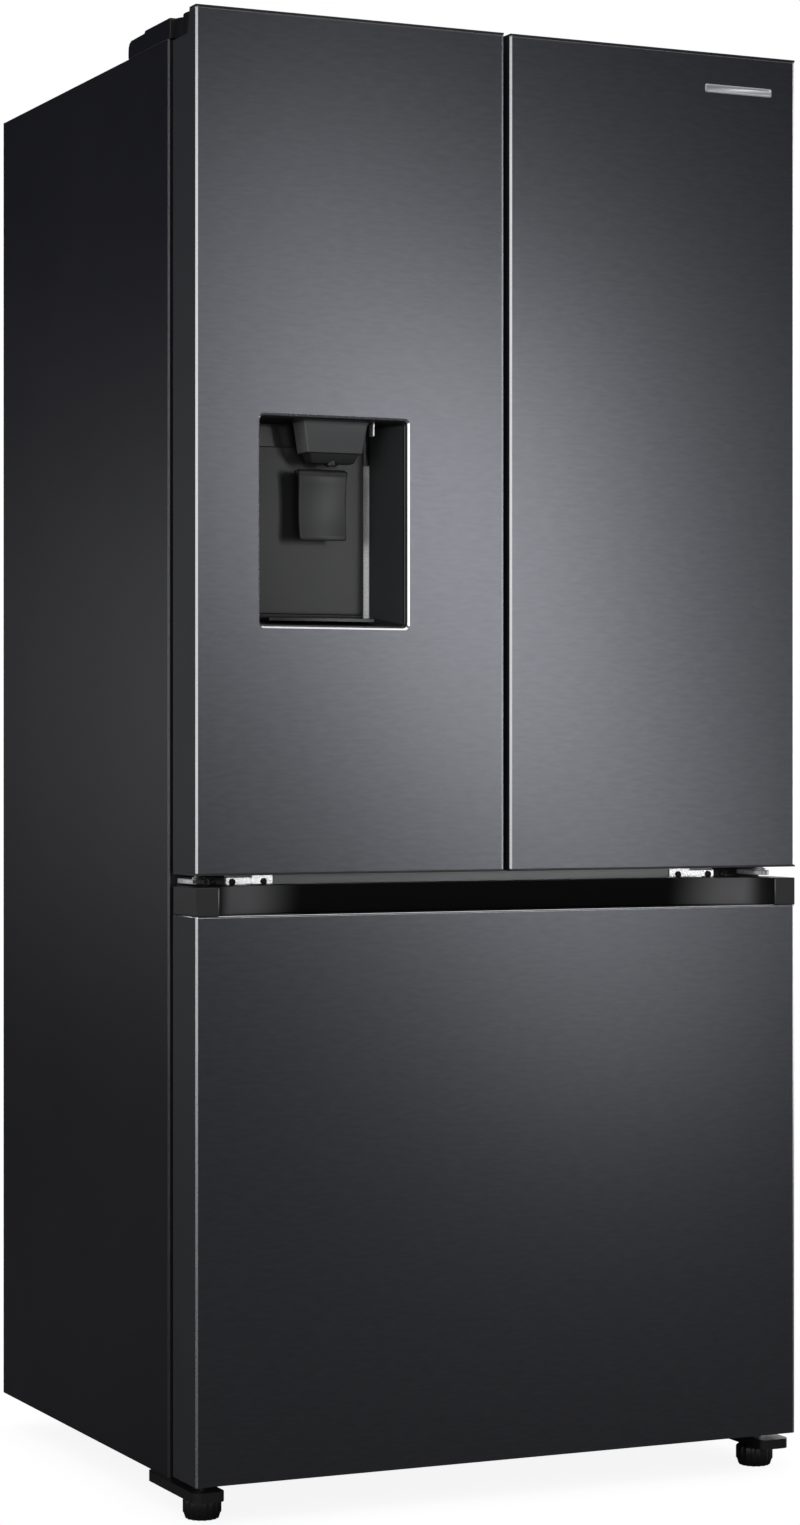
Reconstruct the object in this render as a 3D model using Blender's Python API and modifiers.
"""French door refrigerator with a freezer drawer below and a water dispenser in the left door.

Metres. X runs across the front, Y from the doors (-) to the back (+), Z up from the floor.
"""
import math

import bmesh
import bpy
from mathutils import Matrix, Vector

# ---- driving dimensions -------------------------------------------------------------------
WIDTH = 0.817
DEPTH = 0.715
DRAWER_LOW = 0.047  # lower edge of the drawer above the floor
DRAWER_STEEL_HIGH = DRAWER_LOW + 0.6715
DRAWER_HIGH = DRAWER_LOW + 0.706
DOOR_LOW = DRAWER_LOW + 0.720
DOOR_HIGH = DRAWER_LOW + 1.7456
CABINET_LOW = DRAWER_LOW - 0.0047
CABINET_HIGH = DRAWER_LOW + 1.7205
DOOR_DEPTH = 0.075
DOOR_GAP = 0.0085  # between the two doors
CABINET_SETBACK = 0.090  # door front to cabinet front

HALF = WIDTH / 2
FRONT = -DEPTH / 2
BACK = DEPTH / 2
DOOR_BACK = FRONT + DOOR_DEPTH
CABINET_FRONT = FRONT + CABINET_SETBACK

SKIN = 0.001  # sheet steel
GAP = 0.0003  # between pieces that touch
INSET = SKIN + GAP
CLEAR = 0.02  # how far a cutter runs past a face
OVERLAP = 0.002  # how deep a joined piece reaches into its neighbour

# ---- insulated cabinet --------------------------------------------------------------------
CAVITY_HALF = HALF - 0.050
FREEZER_LOW = 0.107
FREEZER_HIGH = 0.717
FRIDGE_LOW = 0.792
FRIDGE_HIGH = CABINET_HIGH - 0.0505
FRIDGE_BACK = BACK - 0.060
FREEZER_BACK = BACK - 0.070
STEP_FRONT = 0.105  # freezer wall in front of the machine compartment
STEP_HIGH = 0.325
MACHINE_FRONT = 0.1575
MACHINE_HIGH = 0.275
LINER = 0.002

# ---- doors --------------------------------------------------------------------------------
PIN_X = 0.386
PIN_Y = FRONT + 0.050
PIN_RADIUS = 0.005
BORE_RADIUS = 0.0055
CAP_EDGE = 0.0026
TOP_CAP_DEPTH = 0.033
BOTTOM_CAP_DEPTH = 0.020
NOTCH_FLOOR = DOOR_HIGH - 0.030
NOTCH_FRONT = FRONT + 0.022
NOTCH_INNER = PIN_X - 0.024
DYKE_OUTER = 0.348
DYKE_INNER = 0.050
DYKE_WALL = 0.025
DYKE_DEPTH = 0.037
DYKE_LOW = 0.806
DYKE_HIGH = 1.703
GASKET_OUTER = PIN_X + 0.002
GASKET_INNER = 0.013
GASKET_WIDTH = 0.018
BIN_DEPTH = 0.095
BIN_WALL = 0.0025
MULLION_PIVOT = Vector((-0.034, FRONT + 0.1015, 0.0))

# ---- dispenser ----------------------------------------------------------------------------
DISPENSER_LEFT = -0.3279
DISPENSER_RIGHT = -0.1326
DISPENSER_LOW = DRAWER_LOW + 1.014
DISPENSER_HIGH = DRAWER_LOW + 1.267
DISPENSER_WALL = 0.0025
DISPENSER_DEPTH = 0.072
LEVER_PIVOT = Vector((-0.228, FRONT + 0.047, DRAWER_LOW + 1.2030))

# ---- feet, rollers, rails -----------------------------------------------------------------
FOOT_X = 0.380
FOOT_Y = FRONT + 0.053
BRACKET_LOW = DRAWER_LOW - 0.021
BRACKET_HIGH = DRAWER_LOW - 0.009
ROLLER_X = 0.325
ROLLER_Y = 0.280
ROLLER_RADIUS = 0.022
AXLE_RADIUS = 0.004
RAIL_MIDDLE_Z = 0.365
RAIL_BACK = 0.180

# ---- finishes: colour, roughness, metallic ------------------------------------------------
FINISHES = {
    "dark_steel": ((0.055, 0.056, 0.062), 0.35, 0.8),
    "side_paint": ((0.012, 0.012, 0.014), 0.45, 0.2),
    "black_plastic": ((0.012, 0.012, 0.013), 0.40, 0.0),
    "white_plastic": ((0.78, 0.79, 0.80), 0.45, 0.0),
    "clear_plastic": ((0.80, 0.86, 0.90), 0.15, 0.0),
    "foam": ((0.75, 0.70, 0.50), 0.90, 0.0),
    "galvanised": ((0.55, 0.56, 0.58), 0.40, 1.0),
    "grey_rubber": ((0.10, 0.10, 0.11), 0.80, 0.0),
    "glass": ((0.80, 0.90, 0.88), 0.05, 0.0),
    "copper": ((0.62, 0.30, 0.18), 0.35, 1.0),
    "black_paint": ((0.015, 0.015, 0.016), 0.50, 0.0),
}


# ---- tools --------------------------------------------------------------------------------
def clear_scene():
    for item in list(bpy.data.objects):
        bpy.data.objects.remove(item)


def make_collection(name):
    group = bpy.data.collections.new(name)
    bpy.context.scene.collection.children.link(group)
    return group


clear_scene()
PARTS = make_collection("french_door_refrigerator")
CUTTERS = make_collection("cutters")


def paint(item, finish):
    colour, roughness, metallic = FINISHES[finish]
    material = bpy.data.materials.new(item.name + "_" + finish)
    material.use_nodes = True
    shader = material.node_tree.nodes["Principled BSDF"]
    shader.inputs["Base Color"].default_value = (*colour, 1.0)
    shader.inputs["Roughness"].default_value = roughness
    shader.inputs["Metallic"].default_value = metallic
    item.data.materials.append(material)


def pivot_empty(name, location):
    empty = bpy.data.objects.new(name, None)
    empty.location = location
    PARTS.objects.link(empty)
    return empty


def place(name, mesh, pivot, finish):
    """Puts a mesh drawn in world coordinates in the scene, with its origin on the pivot if it has one."""
    item = bpy.data.objects.new(name, mesh)
    if pivot is not None:
        mesh.transform(Matrix.Translation(-pivot.location))
        item.parent = pivot
    if finish is None:
        CUTTERS.objects.link(item)
        item.hide_render = True
        item.display_type = "WIRE"
    else:
        PARTS.objects.link(item)
        paint(item, finish)
    return item


def block(name, corner, opposite, pivot=None, finish=None):
    """A box between two opposite corners, given in any order."""
    corner, opposite = Vector(corner), Vector(opposite)
    size = Vector(abs(step) for step in opposite - corner)
    cage = bmesh.new()
    bmesh.ops.create_cube(cage, size=1.0)
    bmesh.ops.scale(cage, vec=size, verts=cage.verts)
    bmesh.ops.translate(cage, vec=(corner + opposite) / 2, verts=cage.verts)
    mesh = bpy.data.meshes.new(name)
    cage.to_mesh(mesh)
    cage.free()
    return place(name, mesh, pivot, finish)


def tapered(name, corner, opposite, axis, shrink, pivot=None, finish=None):
    """A box whose face at the far end of an axis is drawn in: shrink is (low, high) for each axis."""
    item = block(name, corner, opposite)
    far = max(vertex.co[axis] for vertex in item.data.vertices)
    lows = [min(vertex.co[i] for vertex in item.data.vertices) for i in range(3)]
    for vertex in item.data.vertices:
        if vertex.co[axis] < far - GAP:
            continue
        for i in range(3):
            at_low = abs(vertex.co[i] - lows[i]) < GAP
            vertex.co[i] += shrink[i][0] if at_low else -shrink[i][1]
    mesh = item.data
    bpy.data.objects.remove(item)
    return place(name, mesh, pivot, finish)


def rod(name, start, end, radius, pivot=None, finish=None, sides=24):
    start, end = Vector(start), Vector(end)
    cage = bmesh.new()
    bmesh.ops.create_cone(
        cage, cap_ends=True, segments=sides, radius1=radius, radius2=radius, depth=(end - start).length
    )
    turn = (end - start).to_track_quat("Z", "Y").to_matrix().to_4x4()
    cage.transform(Matrix.Translation((start + end) / 2) @ turn)
    mesh = bpy.data.meshes.new(name)
    cage.to_mesh(mesh)
    cage.free()
    mesh.shade_smooth()
    mesh.set_sharp_from_angle(angle=math.radians(40))
    return place(name, mesh, pivot, finish)


def turned(name, profile, centre, pivot=None, finish=None, steps=32):
    """A solid of revolution about the vertical through centre: profile is (radius, height), top first."""
    mesh = bpy.data.meshes.new(name)
    points = [(radius, 0.0, height) for radius, height in profile]
    mesh.from_pydata(points, [(i, i + 1) for i in range(len(points) - 1)], [])
    item = place(name, mesh, None, finish)
    item.location = centre
    if pivot is not None:
        item.parent = pivot
        item.location = Vector(centre) - pivot.location
    screw = item.modifiers.new("turn", "SCREW")
    screw.steps = steps
    screw.render_steps = steps
    screw.use_merge_vertices = True
    screw.merge_threshold = 0.00005
    screw.use_smooth_shade = True
    return item


def outline(name, points, low, high, pivot=None, finish=None):
    """A flat outline in X and Y, made solid between two heights."""
    curve = bpy.data.curves.new(name, "CURVE")
    curve.dimensions = "2D"
    curve.fill_mode = "BOTH"
    curve.extrude = (high - low) / 2
    spline = curve.splines.new("POLY")
    spline.points.add(len(points) - 1)
    spline.use_cyclic_u = True
    for point, (x, y) in zip(spline.points, points):
        point.co = (x, y, 0.0, 1.0)
    drawing = bpy.data.objects.new(name, curve)
    drawing.location = (0.0, 0.0, (low + high) / 2)
    CUTTERS.objects.link(drawing)
    graph = bpy.context.evaluated_depsgraph_get()
    mesh = bpy.data.meshes.new_from_object(drawing.evaluated_get(graph))
    mesh.transform(drawing.matrix_world)
    cage = bmesh.new()
    cage.from_mesh(mesh)
    bmesh.ops.remove_doubles(cage, verts=cage.verts, dist=0.00001)
    bmesh.ops.recalc_face_normals(cage, faces=cage.faces)
    cage.to_mesh(mesh)
    cage.free()
    bpy.data.objects.remove(drawing)
    return place(name, mesh, pivot, finish)


def tube(name, points, radius, finish):
    curve = bpy.data.curves.new(name, "CURVE")
    curve.dimensions = "3D"
    curve.bevel_depth = radius
    curve.bevel_resolution = 2
    curve.use_fill_caps = True
    spline = curve.splines.new("POLY")
    spline.points.add(len(points) - 1)
    for point, place_at in zip(spline.points, points):
        point.co = (*place_at, 1.0)
    item = bpy.data.objects.new(name, curve)
    PARTS.objects.link(item)
    paint(item, finish)
    return item


def combine(item, tool, operation):
    modifier = item.modifiers.new(tool.name, "BOOLEAN")
    modifier.operation = operation
    modifier.solver = "EXACT"
    modifier.object = tool


def cut(item, *tools):
    for tool in tools:
        combine(item, tool, "DIFFERENCE")


def fuse(item, *tools):
    for tool in tools:
        combine(item, tool, "UNION")


def arc(centre, radius, start, end, steps):
    """Points on an arc, angles in degrees."""
    angles = [math.radians(start + (end - start) * i / steps) for i in range(steps + 1)]
    return [(centre[0] + radius * math.cos(a), centre[1] + radius * math.sin(a)) for a in angles]


def tray(name, corner, opposite, wall, pivot=None, finish=None):
    """A box of even wall thickness with an open top."""
    item = block(name, corner, opposite, pivot, finish)
    low = [min(a, b) + wall for a, b in zip(corner, opposite)]
    high = [max(a, b) - wall for a, b in zip(corner, opposite)]
    high[2] += wall + CLEAR
    cut(item, block(name + "_inside", low, high))
    return item


def ring(name, corner, opposite, width, pivot=None, finish=None):
    """A rectangular frame that stands in the X Z plane."""
    item = block(name, corner, opposite, pivot, finish)
    low = [min(a, b) for a, b in zip(corner, opposite)]
    high = [max(a, b) for a, b in zip(corner, opposite)]
    cut(item, block(
        name + "_window",
        (low[0] + width, low[1] - CLEAR, low[2] + width),
        (high[0] - width, high[1] + CLEAR, high[2] - width),
    ))
    return item


# ---- cabinet ------------------------------------------------------------------------------
def cabinet_shell():
    shell = block(
        "cabinet_shell",
        (-HALF, CABINET_FRONT, CABINET_LOW), (HALF, BACK, CABINET_HIGH), finish="side_paint",
    )
    inside = block(
        "shell_inside",
        (-HALF + SKIN, CABINET_FRONT + SKIN, CABINET_LOW - CLEAR),
        (HALF - SKIN, BACK + CLEAR, CABINET_HIGH - SKIN),
    )
    doorway = block(
        "shell_doorway",
        (-CAVITY_HALF, CABINET_FRONT - CLEAR, FREEZER_LOW), (CAVITY_HALF, CABINET_FRONT + CLEAR, FRIDGE_HIGH),
    )
    cut(shell, inside, doorway)


def back_panel():
    block(
        "back_panel",
        (-HALF + INSET, BACK - SKIN, MACHINE_HIGH + GAP),
        (HALF - INSET, BACK, CABINET_HIGH - INSET), finish="galvanised",
    )


def cabinet_foam():
    foam = block(
        "cabinet_foam",
        (-HALF + INSET, CABINET_FRONT + INSET, CABINET_LOW + 0.0018),
        (HALF - INSET, BACK - INSET, CABINET_HIGH - INSET), finish="foam",
    )
    fridge = block(
        "foam_fridge", (-CAVITY_HALF, CABINET_FRONT - CLEAR, FRIDGE_LOW), (CAVITY_HALF, FRIDGE_BACK, FRIDGE_HIGH)
    )
    freezer = block(
        "foam_freezer", (-CAVITY_HALF, CABINET_FRONT - CLEAR, FREEZER_LOW), (CAVITY_HALF, STEP_FRONT, FREEZER_HIGH)
    )
    freezer_rear = block(
        "foam_freezer_rear",
        (-CAVITY_HALF, STEP_FRONT - OVERLAP, STEP_HIGH), (CAVITY_HALF, FREEZER_BACK, FREEZER_HIGH),
    )
    machine = block("foam_machine", (-HALF, MACHINE_FRONT, 0.0), (HALF, BACK + CLEAR, MACHINE_HIGH))
    rail = block(
        "foam_rail",
        (-CAVITY_HALF, CABINET_FRONT - CLEAR, FREEZER_HIGH - OVERLAP),
        (CAVITY_HALF, CABINET_FRONT + 0.0135, FRIDGE_LOW + OVERLAP),
    )
    cut(foam, fridge, freezer, freezer_rear, machine, rail)


SHELF_HEIGHTS = {"glass_shelf_upper": 1.460, "glass_shelf_lower": 1.220, "crisper_cover": 0.985}
SHELF_FRONT = -0.150
SHELF_BACK = 0.255


def fridge_liner():
    half = CAVITY_HALF - GAP
    liner = block(
        "fridge_liner",
        (-half, CABINET_FRONT, FRIDGE_LOW + GAP), (half, FRIDGE_BACK - GAP, FRIDGE_HIGH - GAP),
        finish="white_plastic",
    )
    inside = block(
        "fridge_inside",
        (-half + LINER, CABINET_FRONT - CLEAR, FRIDGE_LOW + GAP + LINER),
        (half - LINER, FRIDGE_BACK - GAP - LINER, FRIDGE_HIGH - GAP - LINER),
    )
    cut(liner, inside)
    for name, height in SHELF_HEIGHTS.items():
        for side in (-1, 1):
            fuse(liner, block(
                f"{name}_ledge_{side}",
                (side * (half - LINER / 2), SHELF_FRONT + 0.010, height - 0.012),
                (side * (half - 0.016), SHELF_BACK, height - GAP),
            ))


def shelves():
    half = CAVITY_HALF - LINER - 0.0015
    for name, height in SHELF_HEIGHTS.items():
        glass = block(name, (-half, SHELF_FRONT, height), (half, SHELF_BACK, height + 0.005), finish="glass")
        fuse(
            glass,
            block(
                name + "_front_trim",
                (-half + 0.018, SHELF_FRONT - 0.004, height - 0.008),
                (half - 0.018, SHELF_FRONT + 0.012, height + 0.008),
            ),
            block(
                name + "_rear_trim",
                (-half + 0.018, SHELF_BACK - 0.010, height - 0.004),
                (half - 0.018, SHELF_BACK + 0.002, height + 0.012),
            ),
        )


def freezer_liner():
    half = CAVITY_HALF - GAP
    liner = block(
        "freezer_liner",
        (-half, CABINET_FRONT, FREEZER_LOW + GAP), (half, STEP_FRONT - GAP, FREEZER_HIGH - GAP),
        finish="white_plastic",
    )
    rear = block(
        "freezer_rear_outside",
        (-half, STEP_FRONT - CLEAR, STEP_HIGH + GAP), (half, FREEZER_BACK - GAP, FREEZER_HIGH - GAP),
    )
    inside = block(
        "freezer_inside",
        (-half + LINER, CABINET_FRONT - CLEAR, FREEZER_LOW + GAP + LINER),
        (half - LINER, STEP_FRONT - GAP - LINER, FREEZER_HIGH - GAP - LINER),
    )
    rear_inside = block(
        "freezer_rear_inside",
        (-half + LINER, STEP_FRONT - 2 * CLEAR, STEP_HIGH + GAP + LINER),
        (half - LINER, FREEZER_BACK - GAP - LINER, FREEZER_HIGH - GAP - LINER),
    )
    fuse(liner, rear)
    cut(liner, inside, rear_inside)


def cross_rail():
    half = CAVITY_HALF - GAP
    rail = block(
        "cross_rail",
        (-half, CABINET_FRONT, FREEZER_HIGH + GAP), (half, CABINET_FRONT + 0.012, FRIDGE_LOW - GAP),
        finish="side_paint",
    )
    cut(rail, block(
        "cross_rail_channel",
        (-half + 0.0015, CABINET_FRONT + 0.0015, FREEZER_HIGH + 0.002),
        (half - 0.0015, CABINET_FRONT + 0.012 + CLEAR, FRIDGE_LOW - 0.002),
    ))


def air_duct():
    back = FRIDGE_BACK - LINER - 2 * GAP
    front = back - 0.026
    duct = block("air_duct", (-0.140, front, 1.000), (0.140, back, 1.640), finish="white_plastic")
    cut(duct, block("duct_inside", (-0.137, front + 0.003, 1.003), (0.137, back + CLEAR, 1.637)))
    for row in range(3):
        for side in (-1, 1):
            low = 1.080 + row * 0.220
            cut(duct, block(
                f"duct_vent_{row}_{side}",
                (side * 0.045, front - CLEAR, low), (side * 0.115, front + CLEAR, low + 0.012),
            ))


def base_frame():
    half = HALF - INSET
    floor_high = CABINET_LOW + 0.0015
    base = block(
        "base_frame",
        (-half, CABINET_FRONT + INSET, CABINET_LOW), (half, BACK - 0.012, floor_high), finish="galvanised",
    )
    for side in (-1, 1):
        bracket = outline(
            f"leg_bracket_{side}",
            [
                (side * 0.4040, FRONT + 0.168),
                (side * 0.4070, FRONT + 0.160),
                *arc((side * 0.397, FRONT + 0.020), 0.010, 90 - side * 90, 90 - side * 180, 4),
                *arc((side * 0.376, FRONT + 0.020), 0.010, 90 - side * 180, 90 - side * 270, 4),
                (side * 0.366, FRONT + 0.168),
            ],
            BRACKET_LOW, BRACKET_HIGH,
        )
        foot_hole = (side * FOOT_X, FOOT_Y)
        spacer = block(
            f"leg_spacer_{side}",
            (side * 0.370, CABINET_FRONT + 0.004, BRACKET_HIGH - OVERLAP),
            (side * 0.404, FRONT + 0.162, floor_high - GAP),
        )
        fuse(base, bracket, spacer)
        cut(base, rod(
            f"leg_hole_{side}", (*foot_hole, BRACKET_LOW - CLEAR), (*foot_hole, BRACKET_HIGH + GAP * 10), BORE_RADIUS
        ))
        cut(base, block(
            f"roller_slot_{side}",
            (side * (ROLLER_X - 0.0107), ROLLER_Y - 0.026, CABINET_LOW - CLEAR),
            (side * (ROLLER_X + 0.0107), ROLLER_Y + 0.026, floor_high + CLEAR),
        ))
        for inner, outer in ((0.0113, 0.0143), (-0.0143, -0.0113)):
            fuse(base, block(
                f"roller_cheek_{side}_{inner > 0}",
                (side * (ROLLER_X + inner), ROLLER_Y - 0.016, ROLLER_RADIUS - 0.010),
                (side * (ROLLER_X + outer), ROLLER_Y + 0.016, floor_high - GAP),
            ))
        fuse(base, rod(
            f"roller_axle_{side}",
            (side * (ROLLER_X - 0.0160), ROLLER_Y, ROLLER_RADIUS),
            (side * (ROLLER_X + 0.0160), ROLLER_Y, ROLLER_RADIUS), AXLE_RADIUS, sides=16,
        ))
    shroud = block("fan_shroud", (0.060, 0.172, CABINET_LOW + GAP), (0.063, 0.338, 0.252))
    cut(shroud, rod("shroud_hole", (0.040, *FAN_CENTRE), (0.080, *FAN_CENTRE), 0.070))
    fuse(base, shroud)


FAN_CENTRE = (0.255, 0.155)


# ---- cooling system -----------------------------------------------------------------------
def machine_cover():
    front = BACK - 0.0115
    cover = block(
        "machine_cover",
        (-HALF + INSET, front, CABINET_LOW + GAP), (HALF - INSET, front + 0.0015, MACHINE_HIGH - GAP),
        finish="black_paint",
    )
    for column in range(6):
        for row in range(5):
            left = -0.300 + column * 0.105
            low = 0.110 + row * 0.026
            cut(cover, block(
                f"cover_slot_{column}_{row}", (left, front - CLEAR, low), (left + 0.075, front + CLEAR, low + 0.009)
            ))
    gland = (0.360, 0.090)
    fuse(cover, rod(
        "gland_collar", (gland[0], front + GAP, gland[1]), (gland[0], front + 0.008, gland[1]), 0.013
    ))
    cut(cover, rod(
        "gland_hole", (gland[0], front - CLEAR, gland[1]), (gland[0], front + CLEAR, gland[1]), 0.0045
    ))


def compressor():
    low = CABINET_LOW + 0.0015 + 0.010
    radius = 0.072
    dome = [(radius * math.sin(a), 0.150 + 0.030 * math.cos(a)) for a in quarter_turn(5)]
    bowl = [(radius * math.cos(a), 0.035 - 0.022 * math.sin(a)) for a in quarter_turn(5)]
    body = turned(
        "compressor", dome + [(radius + 0.003, 0.105), (radius + 0.003, 0.098)] + bowl,
        (-0.235, 0.255, low), finish="black_paint", steps=28,
    )
    fuse(body, block("compressor_foot", (-0.310, 0.195, low - 0.010 + GAP), (-0.160, 0.315, low + 0.016)))
    fuse(body, rod("compressor_stub", (-0.175, 0.255, low + 0.090), (-0.140, 0.255, low + 0.090), 0.004, sides=12))
    terminal_low = low + 0.070
    fuse(body, block("compressor_terminal", (-0.322, 0.232, terminal_low), (-0.295, 0.278, terminal_low + 0.050)))


def quarter_turn(steps):
    return [math.pi / 2 * i / steps for i in range(steps + 1)]


def condenser():
    """One tube wound to and fro across the fan's air stream."""
    left, right = 0.110, 0.345
    pitch = 0.020
    passes = 8
    low = 0.075
    points = []
    for index in range(passes):
        height = low + index * pitch
        if index % 2:
            turn_x, ends = left, (right, left)
        else:
            turn_x, ends = right, (left, right)
        points.append((ends[0], 0.255, height))
        if index == passes - 1:
            points.append((ends[1], 0.255, height))
            break
        way = 1 if turn_x == right else -1
        for step in range(5):
            angle = math.pi * step / 4 - math.pi / 2
            across = turn_x + way * pitch / 2 * math.cos(angle)
            points.append((across, 0.255, height + pitch / 2 + pitch / 2 * math.sin(angle)))
    tube("condenser", without_repeats(points), 0.0045, "black_paint")


def without_repeats(points):
    kept = []
    for point in points:
        if not kept or (Vector(point) - Vector(kept[-1])).length > GAP:
            kept.append(point)
    return kept


def evaporator():
    """A row of upright fins on one header, seen from above as a comb."""
    fins = 16
    left, right = -0.290, 0.290
    front, back = 0.232, FREEZER_BACK - LINER - 0.004
    pitch = (right - left) / fins
    points = [(right, back), (left, back)]
    for index in range(fins):
        start = left + index * pitch
        points += [(start, front), (start + 0.004, front), (start + 0.004, back - 0.008), (start + pitch, back - 0.008)]
    points[-1] = (right, back - 0.008)
    outline("evaporator", points, 0.345, 0.545, finish="galvanised")


def evaporator_cover():
    half = CAVITY_HALF - LINER - 0.0015
    front = 0.196
    cover = block(
        "evaporator_cover",
        (-half, front, STEP_HIGH + LINER + 2 * GAP), (half, front + 0.003, FREEZER_HIGH - LINER - 2 * GAP),
        finish="white_plastic",
    )
    for row in range(5):
        low = 0.588 + row * 0.015
        cut(cover, block(
            f"evaporator_slot_{row}", (-0.045, front - CLEAR, low), (0.045, front + CLEAR, low + 0.008)
        ))


def fan(name, centre, axis, radius, depth, pivot, blades=5):
    """A hub with pitched blades, turning on the X or the Y axis."""
    centre, axis = Vector(centre), Vector(axis)
    hub = rod(name, centre - axis * depth / 2, centre + axis * depth / 2, radius * 0.33, pivot, "black_plastic")
    for index in range(blades):
        blade = block(f"{name}_blade_{index}", (radius * 0.25, -depth * 0.55, -0.001), (radius, depth * 0.55, 0.001))
        upright = Matrix.Rotation(math.pi / 2, 4, "X") @ Matrix.Rotation(math.radians(35), 4, "X")
        around = Matrix.Rotation(2 * math.pi * index / blades, 4, "Z") @ upright
        facing = axis.to_track_quat("Z", "Y").to_matrix().to_4x4()
        blade.data.transform(Matrix.Translation(centre) @ facing @ around)
        fuse(hub, blade)


def fans():
    centre = Vector((0.036, *FAN_CENTRE))
    fan("condenser_fan", centre, (1, 0, 0), 0.065, 0.020, pivot_empty("condenser_fan_axis", centre))
    centre = Vector((0.0, 0.216, 0.622))
    fan("evaporator_fan", centre, (0, 1, 0), 0.045, 0.016, pivot_empty("evaporator_fan_axis", centre))


# ---- hinges -------------------------------------------------------------------------------
def top_hinge(side, name):
    low = CABINET_HIGH + GAP
    high = low + 0.003
    plate = block(
        "top_hinge_" + name,
        (side * 0.368, CABINET_FRONT + 0.006, low), (side * 0.404, FRONT + 0.205, high), finish="galvanised",
    )
    arm = block(
        f"top_hinge_arm_{name}",
        (side * (PIN_X - 0.011), PIN_Y, low), (side * (PIN_X + 0.011), CABINET_FRONT + 0.006 + OVERLAP, high),
    )
    nose = rod(f"top_hinge_nose_{name}", (side * PIN_X, PIN_Y, low), (side * PIN_X, PIN_Y, high), 0.011)
    pin = rod(
        f"top_hinge_pin_{name}", (side * PIN_X, PIN_Y, NOTCH_FLOOR - 0.018), (side * PIN_X, PIN_Y, high + 0.001),
        PIN_RADIUS,
    )
    fuse(plate, arm, nose, pin)


def hinge_cover(side, name):
    wall = 0.002
    body_low, body_high = CABINET_HIGH + GAP, CABINET_HIGH + 0.0255
    nose_low, nose_high = NOTCH_FLOOR + 0.002, CABINET_HIGH + 0.0205
    cover = block(
        "hinge_cover_" + name,
        (side * 0.3645, CABINET_FRONT - 0.002, body_low), (side * 0.4075, FRONT + 0.232, body_high),
        finish="black_plastic",
    )
    neck_back = CABINET_FRONT - 0.0005
    fuse(
        cover,
        block(
            f"cover_neck_{name}", (side * (PIN_X - 0.014), PIN_Y, nose_low), (side * (PIN_X + 0.014), neck_back, nose_high)
        ),
        rod(f"cover_nose_{name}", (side * PIN_X, PIN_Y, nose_low), (side * PIN_X, PIN_Y, nose_high), 0.018, sides=32),
    )
    cut(
        cover,
        block(
            f"cover_inside_{name}",
            (side * (0.3645 + wall), CABINET_FRONT + wall, body_low - CLEAR),
            (side * (0.4075 - wall), FRONT + 0.232 - wall, body_high - wall),
        ),
        block(
            f"cover_neck_inside_{name}",
            (side * (PIN_X - 0.012), PIN_Y, nose_low - CLEAR),
            (side * (PIN_X + 0.012), CABINET_FRONT + wall + OVERLAP, nose_high - wall),
        ),
        rod(
            f"cover_nose_inside_{name}",
            (side * PIN_X, PIN_Y, nose_low - CLEAR), (side * PIN_X, PIN_Y, nose_high - wall), 0.016, sides=32,
        ),
    )


def mid_hinge(side, name):
    low = DRAWER_HIGH + 0.0025
    high = low + 0.006
    face = CABINET_FRONT - GAP
    plate = block(
        "mid_hinge_" + name,
        (side * 0.305, face - 0.003, DRAWER_HIGH - 0.0095), (side * 0.3990, face, DOOR_LOW - 0.0005),
        finish="galvanised",
    )
    fuse(
        plate,
        block(
            f"mid_hinge_arm_{name}",
            (side * (PIN_X - 0.012), PIN_Y, low), (side * (PIN_X + 0.012), face - GAP, high),
        ),
        rod(f"mid_hinge_nose_{name}", (side * PIN_X, PIN_Y, low), (side * PIN_X, PIN_Y, high), 0.012),
        rod(
            f"mid_hinge_pin_{name}", (side * PIN_X, PIN_Y, low + 0.001), (side * PIN_X, PIN_Y, DOOR_LOW + 0.016),
            PIN_RADIUS,
        ),
    )


# ---- doors --------------------------------------------------------------------------------
def door_cap(name, side, edge, depth, pivot):
    """The moulding that closes one end of a door: a rim as wide as the door and a plug inside the steel."""
    outer, inner = side * HALF, side * DOOR_GAP / 2
    up = 1 if depth > 0 else -1
    cap = block(name, (outer, FRONT, edge), (inner, DOOR_BACK, edge + up * (CAP_EDGE - GAP)), pivot, "black_plastic")
    fuse(cap, block(
        name + "_plug",
        (outer - side * INSET, FRONT + INSET, edge + up * CAP_EDGE / 2),
        (inner + side * INSET, DOOR_BACK, edge + depth),
    ))
    return cap


def hinge_notch(side, name):
    return block(
        f"{name}_notch", (side * (HALF + CLEAR), NOTCH_FRONT, NOTCH_FLOOR),
        (side * NOTCH_INNER, DOOR_BACK + CLEAR, DOOR_HIGH + CLEAR),
    )


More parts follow.
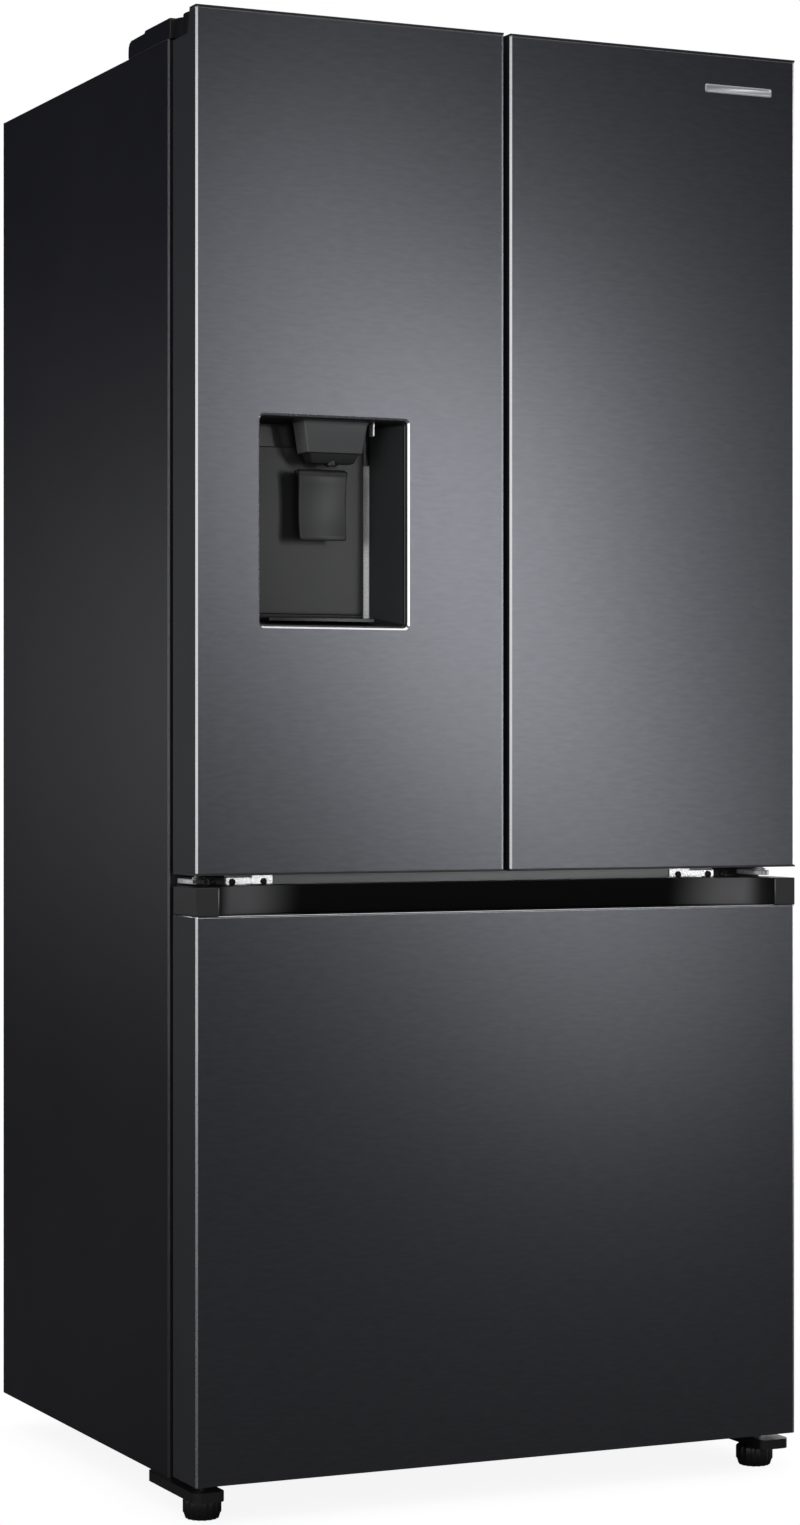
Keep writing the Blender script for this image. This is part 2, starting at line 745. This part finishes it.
def door(side, name):
    pivot = pivot_empty(name + "_pivot", (side * PIN_X, PIN_Y, 0.0))
    outer, inner = side * HALF, side * DOOR_GAP / 2
    notch = hinge_notch(side, name)
    panel = block(
        name + "_panel", (outer, FRONT, DOOR_LOW + CAP_EDGE), (inner, DOOR_BACK, DOOR_HIGH - CAP_EDGE),
        pivot, "dark_steel",
    )
    cut(panel, block(
        name + "_panel_inside",
        (outer - side * SKIN, FRONT + SKIN, DOOR_LOW - CLEAR),
        (inner + side * SKIN, DOOR_BACK + CLEAR, DOOR_HIGH + CLEAR),
    ), notch)
    top = door_cap(name + "_top_cap", side, DOOR_HIGH, -TOP_CAP_DEPTH, pivot)
    cut(top, notch, rod(
        name + "_top_bore",
        (side * PIN_X, PIN_Y, NOTCH_FLOOR - 0.020), (side * PIN_X, PIN_Y, NOTCH_FLOOR + CLEAR), BORE_RADIUS,
    ))
    bottom = door_cap(name + "_bottom_cap", side, DOOR_LOW, BOTTOM_CAP_DEPTH, pivot)
    cut(bottom, rod(
        name + "_bottom_bore",
        (side * PIN_X, PIN_Y, DOOR_LOW - CLEAR), (side * PIN_X, PIN_Y, DOOR_LOW + 0.018), BORE_RADIUS,
    ))
    liner = block(
        name + "_liner",
        (outer - side * INSET, FRONT + INSET, DOOR_LOW + BOTTOM_CAP_DEPTH + GAP),
        (inner + side * INSET, DOOR_BACK, DOOR_HIGH - TOP_CAP_DEPTH - GAP), pivot, "white_plastic",
    )
    cut(liner, rod(
        name + "_liner_bore",
        (side * PIN_X, PIN_Y, NOTCH_FLOOR - 0.020), (side * PIN_X, PIN_Y, NOTCH_FLOOR + CLEAR), BORE_RADIUS,
    ))
    fuse(liner, ring(
        name + "_dyke",
        (side * DYKE_OUTER, DOOR_BACK - OVERLAP, DYKE_LOW),
        (side * DYKE_INNER, DOOR_BACK + DYKE_DEPTH, DYKE_HIGH), DYKE_WALL,
    ))
    ring(
        name + "_gasket",
        (side * GASKET_OUTER, DOOR_BACK + GAP, DOOR_LOW + 0.005),
        (side * GASKET_INNER, CABINET_FRONT - GAP, CABINET_HIGH - 0.0225), GASKET_WIDTH, pivot, "grey_rubber",
    )
    return pivot, panel, liner


def door_bin(name, side, low, height, pivot):
    clearance = DYKE_WALL + 0.001
    return tray(
        name,
        (side * (DYKE_OUTER - clearance), DOOR_BACK + GAP, low),
        (side * (DYKE_INNER + clearance), DOOR_BACK + BIN_DEPTH, low + height), BIN_WALL, pivot, "clear_plastic",
    )


def left_door():
    pivot, panel, liner = door(-1, "left_door")
    door_bin("left_bin_upper", -1, 1.540, 0.090, pivot)
    door_bin("left_bin_lower", -1, 0.840, 0.090, pivot)
    wall = DISPENSER_WALL
    housing_box = (
        (DISPENSER_LEFT - wall, FRONT, DISPENSER_LOW - wall),
        (DISPENSER_RIGHT + wall, FRONT + DISPENSER_DEPTH + wall, DISPENSER_HIGH + wall),
    )
    fuse(liner, block(
        "dispenser_bulge",
        (DISPENSER_LEFT - 0.016, DOOR_BACK - OVERLAP, DISPENSER_LOW - 0.025),
        (DISPENSER_RIGHT + 0.030, DOOR_BACK + 0.028, DISPENSER_HIGH + 0.025),
    ))
    pocket = block(
        "dispenser_pocket",
        (housing_box[0][0] - GAP, FRONT - CLEAR, housing_box[0][2] - GAP),
        (housing_box[1][0] + GAP, housing_box[1][1] + GAP, housing_box[1][2] + GAP),
    )
    cut(panel, pocket)
    cut(liner, pocket)
    for low in MULLION_KNUCKLES:
        fuse(liner, block(
            f"mullion_bracket_{low:.2f}",
            (-DYKE_INNER - 0.004, MULLION_PIVOT.y - 0.004, low - 0.0125),
            (MULLION_PIVOT.x - 0.0045, MULLION_PIVOT.y + 0.004, low + 0.0425),
        ))
    housing = block("dispenser_housing", *housing_box, pivot, "black_plastic")
    cut(housing, tapered(
        "dispenser_recess",
        (DISPENSER_LEFT, FRONT - GAP, DISPENSER_LOW), (DISPENSER_RIGHT, FRONT + DISPENSER_DEPTH, DISPENSER_HIGH),
        1, ((0.010, 0.023), (0.0, 0.0), (0.013, 0.0)),
    ))
    middle = (DISPENSER_LEFT + DISPENSER_RIGHT) / 2 + 0.0128
    nozzle_low = DRAWER_LOW + 1.222
    nozzle = block(
        "dispenser_nozzle",
        (middle - 0.0435, FRONT + 0.022, nozzle_low), (middle + 0.0435, FRONT + 0.062, DISPENSER_HIGH - GAP),
        pivot, "black_plastic",
    )
    fuse(nozzle, block(
        "nozzle_tip", (middle - 0.0275, FRONT + 0.026, nozzle_low - 0.008), (middle + 0.0275, FRONT + 0.058, nozzle_low + 0.004)
    ))
    tank_low, tank_high = 1.345, 1.475
    tank_front = DOOR_BACK + GAP
    tank = block(
        "water_tank", (-0.318, tank_front, tank_low), (-0.080, tank_front + 0.092, tank_high), pivot, "clear_plastic"
    )
    cut(
        tank,
        block("tank_inside", (-0.315, tank_front + 0.003, tank_low + 0.003), (-0.083, tank_front + 0.089, tank_high - 0.003)),
        rod("tank_mouth", (-0.150, tank_front + 0.046, tank_high - CLEAR), (-0.150, tank_front + 0.046, tank_high + CLEAR), 0.024),
    )
    dispenser_lever()


MULLION_KNUCKLES = (0.950, 1.540)
MULLION_LOW = 0.808
MULLION_HIGH = 1.700


def dispenser_lever():
    """Paddle under the nozzle, hung on a barrel along X."""
    pivot = pivot_empty("dispenser_lever_axis", LEVER_PIVOT)
    x, y, z = LEVER_PIVOT
    paddle = tapered(
        "dispenser_lever", (x - 0.030, y - 0.003, z - 0.082), (x + 0.030, y + 0.003, z), 2,
        ((0.003, 0.003), (0.0, 0.0), (0.0, 0.0)), pivot, "black_plastic",
    )
    fuse(paddle, rod("lever_barrel", (x - 0.030, y, z), (x + 0.030, y, z), 0.004))


def mullion():
    """Flap on the free edge of the left door, drawn folded back against the door's side wall."""
    pivot = pivot_empty("mullion_axis", MULLION_PIVOT)
    x, y, _ = MULLION_PIVOT
    flap = block(
        "mullion", (x - 0.010, y + 0.004, MULLION_LOW), (x + 0.0112, y + 0.072, MULLION_HIGH), pivot, "side_paint"
    )
    for low in MULLION_KNUCKLES:
        fuse(flap, rod(f"mullion_knuckle_{low:.2f}", (x, y, low), (x, y, low + 0.030), 0.004))
        fuse(flap, block(f"mullion_web_{low:.2f}", (x - 0.003, y, low), (x + 0.003, y + 0.006, low + 0.030)))


def right_door():
    pivot, _, _ = door(1, "right_door")
    door_bin("right_bin_upper", 1, 1.400, 0.090, pivot)
    door_bin("right_bin_lower", 1, 0.840, 0.110, pivot)


# ---- drawer -------------------------------------------------------------------------------
GRIP_HALF = 0.380
GRIP_DEPTH = 0.052


def drawer_panel(pivot):
    panel = block(
        "drawer_panel", (-HALF, FRONT, DRAWER_LOW), (HALF, DOOR_BACK, DRAWER_STEEL_HIGH), pivot, "dark_steel"
    )
    cut(panel, block(
        "drawer_panel_inside",
        (-HALF + SKIN, FRONT + SKIN, DRAWER_LOW - CLEAR), (HALF - SKIN, DOOR_BACK + CLEAR, DRAWER_STEEL_HIGH + CLEAR),
    ))


def drawer_top_cap(pivot):
    """The black moulding above the steel, hollowed along its front as the finger grip."""
    plug_low = DRAWER_STEEL_HIGH - 0.034
    cap = block(
        "drawer_top_cap", (-HALF, FRONT, DRAWER_STEEL_HIGH + GAP), (HALF, DOOR_BACK, DRAWER_HIGH), pivot, "black_plastic"
    )
    fuse(cap, block(
        "drawer_cap_plug", (-HALF + INSET, FRONT + INSET, plug_low), (HALF - INSET, DOOR_BACK, DRAWER_STEEL_HIGH + OVERLAP)
    ))
    steps = 6
    end = [(0.130 * (1 - math.cos(a)), GRIP_DEPTH * math.sin(a)) for a in quarter_turn(steps)]
    left = [(-GRIP_HALF + x, FRONT + y) for x, y in end]
    right = [(GRIP_HALF - x, FRONT + y) for x, y in reversed(end)]
    mouth = [(GRIP_HALF, FRONT - CLEAR), (-GRIP_HALF, FRONT - CLEAR)]
    cut(cap, outline("grip_opening", left + right + mouth, DRAWER_STEEL_HIGH, DRAWER_HIGH + CLEAR))
    cut(cap, block(
        "grip_pocket",
        (-GRIP_HALF + 0.090, FRONT + 0.012, DRAWER_STEEL_HIGH - 0.026),
        (GRIP_HALF - 0.090, FRONT + 0.040, DRAWER_STEEL_HIGH + OVERLAP),
    ))


def drawer_liner(pivot):
    liner = block(
        "drawer_liner",
        (-HALF + INSET, FRONT + INSET, DRAWER_LOW + 0.001),
        (HALF - INSET, DOOR_BACK, DRAWER_STEEL_HIGH - 0.034 - GAP), pivot, "white_plastic",
    )
    fuse(liner, block(
        "drawer_inner_panel",
        (-0.345, DOOR_BACK - OVERLAP, FREEZER_LOW + 0.018), (0.345, DOOR_BACK + 0.012, DRAWER_STEEL_HIGH - 0.040),
    ))


def drawer_gasket(pivot):
    ring(
        "drawer_gasket",
        (-GASKET_OUTER, DOOR_BACK + GAP, FREEZER_LOW - 0.027),
        (GASKET_OUTER, CABINET_FRONT - GAP, FREEZER_HIGH + 0.021), GASKET_WIDTH, pivot, "grey_rubber",
    )


RAIL_FRONT = CABINET_FRONT + 0.004
WALL_INSIDE = CAVITY_HALF - GAP - LINER
RAIL_THICKNESS = 0.0055
RAIL_GAP = 0.0005


def rail_span(index):
    """Inner and outer X of the fixed rail (0), the middle rail (1) and the drawer's own rail (2)."""
    outer = WALL_INSIDE - GAP - index * (RAIL_THICKNESS + RAIL_GAP)
    return outer - RAIL_THICKNESS, outer


def rails():
    for side, name in ((-1, "left"), (1, "right")):
        for index, part, height in ((0, "outer", 0.025), (1, "mid", 0.020)):
            inner, outer = rail_span(index)
            pivot = None
            if part == "mid":
                pivot = pivot_empty(f"rail_{name}_slide", (side * (inner + outer) / 2, RAIL_FRONT, RAIL_MIDDLE_Z))
            block(
                f"rail_{name}_{part}",
                (side * inner, RAIL_FRONT, RAIL_MIDDLE_Z - height),
                (side * outer, RAIL_BACK, RAIL_MIDDLE_Z + height), pivot, "galvanised",
            )


def drawer_frame(pivot):
    inner, outer = rail_span(2)
    front = DOOR_BACK + 0.0123
    low, high = RAIL_MIDDLE_Z - 0.015, RAIL_MIDDLE_Z + 0.015
    frame = block("drawer_frame", (-outer, 0.096, low), (outer, 0.104, high), pivot, "galvanised")
    for side in (-1, 1):
        fuse(frame, block(f"drawer_rail_{side}", (side * inner, front, low), (side * outer, RAIL_BACK - 0.006, high)))
        fuse(frame, block(
            f"drawer_ear_{side}", (side * (outer - 0.030), front, low - 0.020), (side * outer, front + 0.003, high + 0.020)
        ))


def baskets(pivot):
    front = DOOR_BACK + 0.0165
    tray("drawer_basket", (-0.325, front, 0.125), (0.325, 0.090, 0.430), 0.003, pivot, "white_plastic")
    slide = pivot_empty("freezer_tray_slide", (0.0, front, 0.4305))
    tray("freezer_tray", (-0.325, front, 0.4305), (0.325, front + 0.205, 0.530), 0.003, slide, "white_plastic")


def drawer():
    pivot = pivot_empty("freezer_drawer_slide", (0.0, FRONT, DRAWER_LOW))
    drawer_panel(pivot)
    drawer_top_cap(pivot)
    drawer_liner(pivot)
    drawer_gasket(pivot)
    drawer_frame(pivot)
    baskets(pivot)


def crispers():
    low = FRIDGE_LOW + GAP + LINER + GAP
    for side, name in ((-1, "left"), (1, "right")):
        slide = pivot_empty(f"crisper_{name}_slide", (side * 0.178, -0.105, low))
        tray(
            f"crisper_{name}", (side * 0.004, -0.105, low), (side * 0.352, 0.240, 0.955), 0.003, slide, "clear_plastic"
        )


# ---- feet and rollers ---------------------------------------------------------------------
def feet():
    for side, name in ((-1, "left"), (1, "right")):
        pivot = pivot_empty(f"foot_{name}_axis", (side * FOOT_X, FOOT_Y, 0.0))
        top = BRACKET_LOW - GAP
        profile = [
            (0.0, 0.0430), (PIN_RADIUS, 0.0430), (PIN_RADIUS, top), (0.0220, top), (0.0235, top - 0.0015),
            (0.0235, 0.008), (0.0200, 0.0), (0.0, 0.0),
        ]
        turned(f"foot_{name}", profile, (side * FOOT_X, FOOT_Y, 0.0), pivot, "black_plastic", steps=32)


def rollers():
    for side, name in ((-1, "left"), (1, "right")):
        centre = Vector((side * ROLLER_X, ROLLER_Y, ROLLER_RADIUS))
        half = Vector((0.010, 0.0, 0.0))
        pivot = pivot_empty(f"roller_{name}_axis", centre)
        wheel = rod(f"roller_{name}", centre - half, centre + half, ROLLER_RADIUS, pivot, "black_plastic", sides=48)
        cut(wheel, rod(f"roller_bore_{name}", centre - 2 * half, centre + 2 * half, AXLE_RADIUS + 0.0005, sides=16))


def main():
    cabinet_shell()
    back_panel()
    cabinet_foam()
    fridge_liner()
    freezer_liner()
    cross_rail()
    shelves()
    air_duct()
    base_frame()
    machine_cover()
    compressor()
    condenser()
    evaporator()
    evaporator_cover()
    fans()
    for side, name in ((-1, "left"), (1, "right")):
        top_hinge(side, name)
        hinge_cover(side, name)
        mid_hinge(side, name)
    left_door()
    right_door()
    mullion()
    rails()
    drawer()
    crispers()
    feet()
    rollers()


main()
